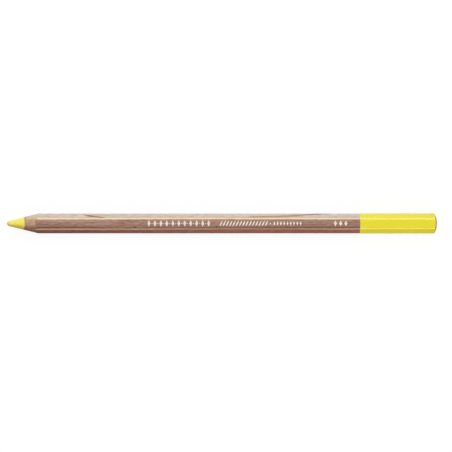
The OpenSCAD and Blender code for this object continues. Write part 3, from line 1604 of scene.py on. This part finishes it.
@dataclass
class CasingSlat:
    """Half of the wooden casing: three faces, its groove and its cut ends."""

    form: PencilForm
    half: Half
    finish: CedarFinish
    corner_cuts: int = 10
    flat_cuts: int = 11
    front_rings: int = 16
    body_rings: int = 150
    rear_rings: int = 5
    seam_chamfer: float = 0.02 * MM
    planing: float = 0.010 * MM
    planing_length: float = 9.0 * MM
    planing_width: float = 4.0 * MM
    aim_steps: int = 12
    turn_slack: float = 0.001
    sides: list[tuple[Vector, Vector]] = field(default_factory=list)

    def planed(self, point: Vector, x: float) -> Vector:
        """Sinks a point of the flats a little, as planing never leaves them true.

        Args:
            point: The point on the true section.
            x: Its place along the pencil.

        Returns:
            The point on the planed wood.
        """
        width = self.planing_width
        spot = Vector((x / self.planing_length, point.y / width, point.z / width))
        sink = self.planing * (0.5 + 0.5 * noise.noise(spot))
        radius = self.form.radius_of(point) - sink
        return self.form.axis_point(radius, self.form.angle_of(point))

    def place(self, ring: int, column: int, wall: Wall) -> Vector:
        """Finds a point of the slat.

        Args:
            ring: Number of the ring, from the feather edge at the core.
            column: Number of the column, from one glue face to the other.
            wall: The outside or the groove.

        Returns:
            The point.
        """
        form = self.form
        groove, outer = self.sides[column]
        reach = form.radius_of(outer)
        start, end = form.front_x(reach), form.rear_x(reach)
        rear_start = self.front_rings + self.body_rings
        if ring < self.front_rings:
            point = groove.lerp(outer, ring / self.front_rings)
            x = form.front_x(form.radius_of(point))
        elif ring > rear_start:
            point = groove.lerp(outer, 1 - (ring - rear_start) / self.rear_rings)
            x = form.rear_x(form.radius_of(point))
        else:
            x = start + (end - start) * (ring - self.front_rings) / self.body_rings
            point = self.planed(outer, x)
            if ring == self.front_rings:
                x = form.front_x(form.radius_of(point))
        if wall is Wall.INNER:
            point = groove.copy()
        point.x = x
        return point

    def measure_sides(self, angles: list[float]) -> None:
        """Pairs each column's groove point with its outside point.

        Args:
            angles: Direction of each column from the core's axis.
        """
        form = self.form
        self.sides = []
        for angle in angles:
            groove = form.core_point(form.groove_r, angle)
            outer = self.outside(angle)
            self.sides.append((groove, outer))
        for number in (0, len(self.sides) - 1):
            groove, outer = self.sides[number]
            pull = self.seam_chamfer / (outer - groove).length
            self.sides[number] = (groove, outer.lerp(groove, pull))

    def outside(self, angle: float) -> Vector:
        """Finds where a line from the core's axis leaves the hexagon.

        Args:
            angle: Direction of the line.

        Returns:
            The point on the hexagon's outline.
        """
        form = self.form
        point = form.core_point(form.half_flats, angle)
        for _ in range(self.aim_steps):
            edge = form.radius_of(form.section_point(form.angle_of(point)))
            reach = math.hypot(point.y, point.z - form.glue_z)
            point = form.core_point(reach + edge - form.radius_of(point), angle)
        return point

    def build(self, effects: SharedEffects) -> Object:
        """Builds the piece.

        Args:
            effects: The shared effects.

        Returns:
            The finished object.
        """
        form = self.form
        upper = self.half is Half.UPPER
        work = Workpiece(self.half.value + "_cedar_slat")
        work.draw_hexagon(form, self.corner_cuts, self.flat_cuts)
        self.cut_along_glue(work, form.glue_z, upper)
        work.open_outline()
        seam = [e for e in work.bm.edges if e.calc_length() > form.half_flats]
        bmesh.ops.delete(work.bm, geom=seam, context="EDGES")
        shoulder_z = form.glue_z + (self.seam_chamfer if upper else -self.seam_chamfer)
        bmesh.ops.bisect_plane(
            work.bm,
            geom=list(work.bm.verts) + list(work.bm.edges),
            dist=CUT_WITHIN,
            plane_co=(0, 0, shoulder_z),
            plane_no=(0, 0, 1),
        )
        angles = work.number_columns(form.glue_z)
        if not upper:
            angles = self.join_turn(work, angles)
        self.measure_sides(angles)
        work.add_inner_wall()
        work.draw_out(self.front_rings + self.body_rings + self.rear_rings)
        work.set_form(self.place)
        material = self.finish.material(form, effects)
        return work.finish(material, self.half.value + "_wood", self.half.value + "_slat")

    def cut_along_glue(self, work: Workpiece, height: float, keep_upper: bool) -> None:
        """Cuts the drawn hexagon along the glue line and keeps one half.

        Args:
            work: The mesh that holds the hexagon.
            height: Height of the glue line.
            keep_upper: Whether the upper half is kept.
        """
        bmesh.ops.bisect_plane(
            work.bm,
            geom=list(work.bm.verts) + list(work.bm.edges) + list(work.bm.faces),
            dist=CUT_WITHIN,
            plane_co=(0, 0, height),
            plane_no=(0, 0, 1),
            clear_inner=keep_upper,
            clear_outer=not keep_upper,
        )

    def join_turn(self, work: Workpiece, angles: list[float]) -> list[float]:
        """Renumbers the lower half, where the direction jumps by a full turn.

        Args:
            work: The mesh with its first numbers.
            angles: The directions in the order of those numbers.

        Returns:
            The directions in the order of the new numbers.
        """
        turned = [angle if angle < self.turn_slack else angle - math.tau for angle in angles]
        order = sorted(range(len(turned)), key=lambda number: turned[number])
        new_number = {old: new for new, old in enumerate(order)}
        for vert in work.bm.verts:
            vert[work.column] = new_number[vert[work.column]]
        return [turned[number] for number in order]


@dataclass
class DippedEnd:
    """The lacquer film: a thin closed cup over the turned end."""

    form: PencilForm
    finish: LacquerFinish = field(default_factory=LacquerFinish)
    corner_cuts: int = 10
    flat_cuts: int = 11
    body_rings: int = 32
    dome_rings: int = 13
    rim_round: float = 0.03 * MM
    rim_cuts: int = 3
    end_round: float = 0.14 * MM
    end_cuts: int = 4
    run: float = 0.03 * MM
    run_size: float = 1.5 * MM
    angles: list[float] = field(default_factory=list)

    def place(self, ring: int, column: int, wall: Wall) -> Vector:
        """Finds a point of the film.

        Args:
            ring: Number of the ring, from the front edge of the dip.
            column: Number of the column round the film.
            wall: The outside, or the side against the wood.

        Returns:
            The point.
        """
        form = self.form
        grow = form.film if wall is Wall.OUTER else form.film_gap
        angle = self.angles[column]
        edge = form.section_point(angle, grow)
        reach = form.radius_of(edge)
        end = form.rear_x(reach, grow)
        if ring <= self.body_rings:
            share = ring / self.body_rings
            start = form.dip_x
            if ring == 0:
                start += self.run * (0.5 + 0.5 * noise.noise(edge / self.run_size))
            edge.x = start + share * (end - start)
            return edge
        share = 1 - (ring - self.body_rings) / self.dome_rings
        point = form.axis_point(reach * share, angle)
        point.x = form.rear_x(reach * share, grow)
        return point

    def build(self, effects: SharedEffects) -> Object:
        """Builds the piece.

        Args:
            effects: The shared effects.

        Returns:
            The finished object.
        """
        work = Workpiece("dipped_end")
        work.draw_hexagon(self.form, self.corner_cuts, self.flat_cuts)
        self.angles = work.number_columns(self.form.axis_z)
        work.open_outline()
        work.add_inner_wall()
        rings = self.body_rings + self.dome_rings
        work.draw_out(rings)
        work.open_end(rings)
        work.set_form(self.place)
        for ring, width, segments in (
            (0, self.rim_round, self.rim_cuts),
            (self.body_rings, self.end_round, self.end_cuts),
        ):
            work.soften(lambda e, at=ring: self.is_round_edge(work, e, at), width, segments)
        return work.finish(self.finish.material(self.form, effects), "lacquer", "end_lacquer")

    def is_round_edge(self, work: Workpiece, edge: BMEdge, ring: int) -> bool:
        """Says whether an edge runs round the outside in one ring.

        Args:
            work: The mesh.
            edge: The edge.
            ring: Number of the ring.

        Returns:
            Whether it does.
        """
        return all(
            vert[work.ring] == ring and Wall(vert[work.wall]) is Wall.OUTER
            for vert in edge.verts
        )


class Motif(Enum):
    """The plain shapes that the foil print is made of."""

    LOZENGE = "lozenge"
    LEAF = "leaf"
    BEAD = "bead"


@dataclass(frozen=True)
class PrintBand:
    """One run of equal shapes along the stamped flat, in millimetres."""

    name: str
    motif: Motif
    start: float
    end: float
    height: float
    count: int
    width: float
    slant: float = 0.0

    def centres(self) -> list[float]:
        """Spaces the shapes along the pencil.

        Returns:
            The middle of each shape.
        """
        if self.count == 1:
            return [(self.start + self.end) / 2]
        first = self.start + self.width / 2
        step = (self.end - self.start - self.width) / (self.count - 1)
        return [first + step * number for number in range(self.count)]


@dataclass
class FoilPrint:
    """The white print on the top flat, as bands of plain ornament."""

    form: PencilForm
    finish: FoilFinish = field(default_factory=FoilFinish)
    thickness: float = 0.035 * MM
    proud: float = 0.008 * MM
    lozenge_corners: int = 4
    round_corners: int = 20
    bands: tuple[PrintBand, ...] = (
        PrintBand("foil_lozenges", Motif.LOZENGE, -30.2, -4.7, 2.7, 11, 1.3),
        PrintBand("foil_beads", Motif.BEAD, -28.54, -6.36, 0.4, 10, 0.4),
        PrintBand("foil_leaves", Motif.LEAF, -0.6, 18.4, 2.6, 15, 0.55, slant=-0.45),
        PrintBand("foil_dot", Motif.BEAD, 19.4, 20.0, 0.6, 1, 0.6),
        PrintBand("foil_small_lozenges", Motif.LOZENGE, 20.9, 32.3, 1.8, 9, 0.75),
        PrintBand("foil_end_lozenges", Motif.LOZENGE, 45.35, 51.0, 2.3, 3, 1.35),
    )

    def build(self, effects: SharedEffects) -> list[Object]:
        """Builds the bands.

        Args:
            effects: The shared effects.

        Returns:
            One finished object for each band.
        """
        material = self.finish.material(effects)
        return [self.build_band(band, material) for band in self.bands]

    def build_band(self, band: PrintBand, material: Material) -> Object:
        """Builds one band.

        Args:
            band: The band's shapes and places.
            material: The foil's finish.

        Returns:
            The finished object.
        """
        work = Workpiece(band.name)
        for centre in band.centres():
            verts = self.draw_motif(work, band)
            turn = Matrix.Rotation(band.slant, 4, "Z")
            spot = Vector((centre * MM, 0, self.form.top_z + self.proud - self.thickness))
            bmesh.ops.transform(work.bm, matrix=Matrix.Translation(spot) @ turn, verts=verts)
        made = bmesh.ops.extrude_face_region(work.bm, geom=list(work.bm.faces))
        raised = [item for item in made["geom"] if isinstance(item, BMVert)]
        bmesh.ops.translate(work.bm, vec=(0, 0, self.thickness), verts=raised)
        return work.finish(material, "foil_print", None)

    def draw_motif(self, work: Workpiece, band: PrintBand) -> list[BMVert]:
        """Draws one shape of a band, flat and centred.

        Args:
            work: The mesh to draw in.
            band: The band that it belongs to.

        Returns:
            The shape's points.
        """
        corners = self.lozenge_corners if band.motif is Motif.LOZENGE else self.round_corners
        made = bmesh.ops.create_circle(work.bm, cap_ends=True, radius=0.5, segments=corners)
        verts = made["verts"]
        if band.motif is Motif.LEAF:
            for vert in verts:
                vert.co.x *= math.sqrt(max(1 - (2 * vert.co.y) ** 2, 0))
        bmesh.ops.scale(work.bm, vec=(band.width * MM, band.height * MM, 1), verts=verts)
        return verts


# ---------------------------------------------------------------- studio


@dataclass(frozen=True)
class SoftBox:
    """A rectangular studio lamp that faces the pencil's middle."""

    name: str
    side: float
    elevation: float
    power: float
    distance: float
    length: float
    width: float

    def build(self, target: Vector) -> Object:
        """Hangs the lamp.

        Args:
            target: The point that it faces.

        Returns:
            The lamp's object.
        """
        lamp = bpy.data.lights.new(self.name, "AREA")
        lamp.shape = "RECTANGLE"
        lamp.size = self.length
        lamp.size_y = self.width
        lamp.energy = self.power
        away = Vector((0, self.side * math.cos(self.elevation), math.sin(self.elevation)))
        held = set_out(self.name, lamp)
        held.location = target + away * self.distance
        held.rotation_euler = away.to_track_quat("Z", "Y").to_euler()
        return held


@dataclass(frozen=True)
class FloorFinish:
    """Pale paper that shows as white and keeps a faint shadow."""

    name: str = "white_floor"
    pale: float = 0.60
    gloss_bright: float = 0.70
    gloss_dark: float = 0.08
    turn: float = 4 * MM
    flag_x: float = 84 * MM
    flag_dim: float = 0.75
    shadow_share: float = 0.12
    lift: float = 0.90
    near: float = 0.16
    far: float = 0.45

    def material(self) -> Material:
        """Builds the finish.

        Lamps light the floor for the bounces and for what gloss shows of it,
        where the floor counts as dark on the -Y side, as if behind a black flag.
        What the camera sees is lifted to white, apart from the shadow, and is
        all white away from the pencil.

        Returns:
            The material.
        """
        material = bpy.data.materials.new(self.name)
        g = Graph(material)
        seen, glossy = g.ray_kinds()
        spot = g.node("TexCoord").outputs["Object"]
        x, y, _ = g.split(spot)
        bright = g.fade(y, -self.turn, self.turn)
        gloss = g.line(bright, self.gloss_bright - self.gloss_dark, self.gloss_dark)
        hidden = g.line(glossy, g.minus(gloss, self.pale), self.pale)
        flag = g.fade(x, self.flag_x, self.flag_x + 2 * self.turn)
        hidden = g.times(hidden, g.line(flag, -self.flag_dim, 1.0))
        away = g.fade(g.length(spot), self.near, self.far)
        share = g.line(away, -self.shadow_share, self.shadow_share)
        grey = g.node("Mix", data_type="FLOAT")
        g.put(grey.inputs["Factor"], seen)
        g.put(grey.inputs[2], hidden)
        g.put(grey.inputs[3], share)
        shade = g.node("CombineColor")
        for socket in shade.inputs:
            g.put(socket, grey.outputs[0])
        paper = g.node("BsdfDiffuse")
        g.put(paper.inputs["Color"], shade.outputs["Color"])
        glow = g.node("Emission")
        lift = g.line(away, 1 - self.lift, self.lift)
        g.put(glow.inputs["Strength"], g.times(seen, lift))
        both = g.node("AddShader")
        g.put(both.inputs[0], paper.outputs[0])
        g.put(both.inputs[1], glow.outputs[0])
        g.show(both.outputs[0])
        return material


@dataclass
class Studio:
    """The floor, the lamps, the surroundings and the camera."""

    form: PencilForm
    floor_half: float = 6.0
    floor_gap: float = 0.02 * MM
    ambient: float = 0.12
    gloss_ambient: float = 0.12
    lamps: tuple[SoftBox, ...] = (
        SoftBox("side_softbox", 1.0, math.radians(22), 3.25, 0.90, 0.90, 0.70),
        SoftBox("high_softbox", 1.0, math.radians(58), 6.00, 0.90, 0.90, 0.85),
        SoftBox("fill_softbox", -1.0, math.radians(24), 6.75, 0.90, 0.90, 0.95),
    )
    lens: float = 150.0
    sensor: float = 36.0
    framed_width: float = 184.10 * MM
    camera_shift: tuple[float, float] = (1.68 * MM, -1.04 * MM)
    nearest: float = 10 * MM
    farthest: float = 20.0

    def build_floor(self) -> Object:
        """Lays the floor.

        Returns:
            The floor.
        """
        bm = bmesh.new()
        bmesh.ops.create_grid(bm, x_segments=1, y_segments=1, size=self.floor_half)
        bmesh.ops.translate(bm, vec=(0, 0, -self.floor_gap), verts=bm.verts)
        mesh = bpy.data.meshes.new("studio_floor")
        bm.to_mesh(mesh)
        bm.free()
        mesh.materials.append(FloorFinish().material())
        floor = set_out("studio_floor", mesh)
        return floor

    def build_world(self) -> None:
        """Makes the surroundings white to look at and soft as a light."""
        world = bpy.data.worlds.new("studio_world")
        g = Graph(world)
        seen, glossy = g.ray_kinds()
        dim = g.line(glossy, self.gloss_ambient - self.ambient, self.ambient)
        back = g.node("Background")
        g.put(back.inputs["Strength"], g.math("MAXIMUM", seen, dim))
        back.inputs["Color"].default_value = (1, 1, 1, 1)
        g.show(back.outputs[0], "OutputWorld")
        bpy.context.scene.world = world

    def build_camera(self) -> Object:
        """Hangs the camera straight above the pencil.

        Returns:
            The camera's object.
        """
        camera = bpy.data.cameras.new("camera")
        camera.lens = self.lens
        camera.sensor_width = self.sensor
        camera.clip_start = self.nearest
        camera.clip_end = self.farthest
        height = self.form.axis_z + self.framed_width * self.lens / self.sensor
        held = set_out("camera", camera)
        held.location = (*self.camera_shift, height)
        bpy.context.scene.camera = held
        return held

    def build(self) -> None:
        """Sets up the whole studio."""
        self.build_camera()
        self.build_world()
        floor = self.build_floor()
        target = Vector((0, 0, self.form.axis_z))
        for lamp in self.lamps:
            held = lamp.build(target)
            LOG.info("lamp %s at %s", held.name, tuple(round(v, 3) for v in held.location))
        LOG.info("floor %s", floor.name)
        bpy.context.scene.view_settings.view_transform = "Standard"


# ---------------------------------------------------------------- the pencil


def edge_highlight_line(start: Triple, end: Triple) -> Mark:
    """A painted highlight: the pale line along a rounded edge of the wood."""
    return Mark(start, end, 1.10, (0.700, 0.428, 0.280), 0.95, ragged=0.20, full=0.10)


UPPER_WOOD = CedarFinish(
    name="upper_cedar",
    across=(0.012, 0.86, 0.51),
    spacing=0.95,
    shift=(3.0, 0.3, 0.0),
    marks=(
        # Painted highlights along the -Y edge of the top flat.
        edge_highlight_line((-170.0, -2.51, 6.6), (44.0, -2.47, 6.6)),
        edge_highlight_line((-4.0, -2.36, 6.7), (160.0, -2.28, 6.8)),
        Mark((-100.0, -1.70, 7.3), (-38.0, -1.66, 7.3), 1.15, (0.150, 0.050, 0.020), 0.95),
        Mark((-80.0, -1.70, 7.3), (135.0, -1.64, 7.3), 1.10, (0.165, 0.060, 0.030), 0.90),
        Mark((-150.0, -1.15, 7.3), (150.0, -1.10, 7.3), 1.00, (0.300, 0.132, 0.092), 0.50),
        Mark((-42.0, -1.62, 7.3), (18.0, -1.62, 7.3), 0.90, (0.290, 0.140, 0.090), 0.40),
        # Painted highlight that widens the +Y edge's line at the front.
        Mark((-92.0, 1.62, 7.2), (-30.0, 1.58, 7.2), 0.55, (0.680, 0.490, 0.360), 0.60, 0.15),
        Mark((-110.0, 1.00, 7.3), (100.0, 1.05, 7.3), 1.20, (0.415, 0.255, 0.160), 0.50),
        Mark((-76.0, 0.95, 7.3), (-44.0, 1.00, 7.3), 1.30, (0.430, 0.300, 0.200), 0.50),
        Mark((-53.5, -0.30, 7.3), (-43.0, 0.25, 7.3), 1.9, (0.410, 0.225, 0.195), 0.75),
        Mark((-39.0, -0.60, 7.3), (-33.5, -0.35, 7.3), 1.1, (0.360, 0.180, 0.160), 0.60),
        Mark((-60.5, 0.60, 7.3), (-53.5, 0.80, 7.3), 1.4, (0.420, 0.250, 0.140), 0.65),
        Mark((51.0, 0.70, 7.3), (55.5, 0.55, 7.3), 0.8, (0.430, 0.170, 0.140), 0.60),
        Mark((-58.8, 3.0, 5.7), (-54.2, 2.8, 6.1), 2.0, (0.760, 0.540, 0.350), 0.70),
        Mark((-53.5, 3.6, 4.8), (-45.0, 3.2, 5.4), 1.8, (0.620, 0.395, 0.300), 0.80),
        Mark((-57.8, 4.05, 4.0), (-53.4, 3.95, 4.1), 0.8, (0.430, 0.350, 0.300), 0.80),
        Mark((-56.5, 3.3, 5.1), (-49.6, 2.6, 6.4), 1.7, (0.390, 0.205, 0.085), 0.95, sunk=0.55),
        Mark((-55.0, 3.15, 5.4), (-51.6, 2.75, 6.1), 1.6, (0.250, 0.125, 0.040), 1.00, sunk=0.85),
        Mark((-52.6, 2.75, 6.2), (-46.8, 2.2, 7.1), 1.2, (0.330, 0.170, 0.080), 0.95, sunk=0.55),
        Mark((6.0, 2.50, 6.6), (36.0, 3.1, 5.6), 1.9, (0.430, 0.245, 0.150), 0.92),
        Mark((24.0, 3.1, 5.6), (47.0, 4.1, 3.8), 1.0, (0.230, 0.145, 0.095), 0.90),
        Mark((-43.0, 1.2, 7.3), (-33.0, 0.7, 7.3), 0.5, (0.190, 0.090, 0.045), 0.60),
        Mark((-35.8, -1.55, 7.3), (-34.6, -1.55, 7.3), 0.60, (0.050, 0.022, 0.018), 0.95),
        Mark((-2.7, -1.35, 7.3), (-1.6, -1.35, 7.3), 0.55, (0.110, 0.012, 0.012), 0.90),
    ),
)

LOWER_WOOD = CedarFinish(
    name="lower_cedar",
    across=(-0.010, 0.62, 0.78),
    spacing=0.80,
    shift=(41.0, 7.3, 2.2),
    # The painted sheen and the painted shade start further out on this slat.
    sheen_from=3.0,
    shade_from=-2.6,
    marks=(
        Mark((-20.0, -3.2, 1.6), (14.0, -2.6, 0.5), 0.80, (0.180, 0.090, 0.050), 0.55),
        Mark((-60.0, 0.8, 0.1), (-30.0, 1.4, 0.1), 0.60, (0.180, 0.085, 0.050), 0.50),
    ),
)


def main() -> None:
    """Loads the frame, builds every piece round it and reports each one."""
    logging.basicConfig(level=logging.INFO, format="%(name)s: %(message)s")
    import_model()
    form = PencilForm.from_frame()
    Studio(form).build()
    effects = SharedEffects()
    pieces = [
        PastelCore(form).build(effects),
        GlueSleeve(form).build(),
        CasingSlat(form, Half.UPPER, UPPER_WOOD).build(effects),
        CasingSlat(form, Half.LOWER, LOWER_WOOD).build(effects),
        DippedEnd(form).build(effects),
        *FoilPrint(form).build(effects),
    ]
    for piece in pieces:
        LOG.info("%s: %d faces", piece.name, len(piece.data.polygons))


if __name__ == "__main__":
    main()
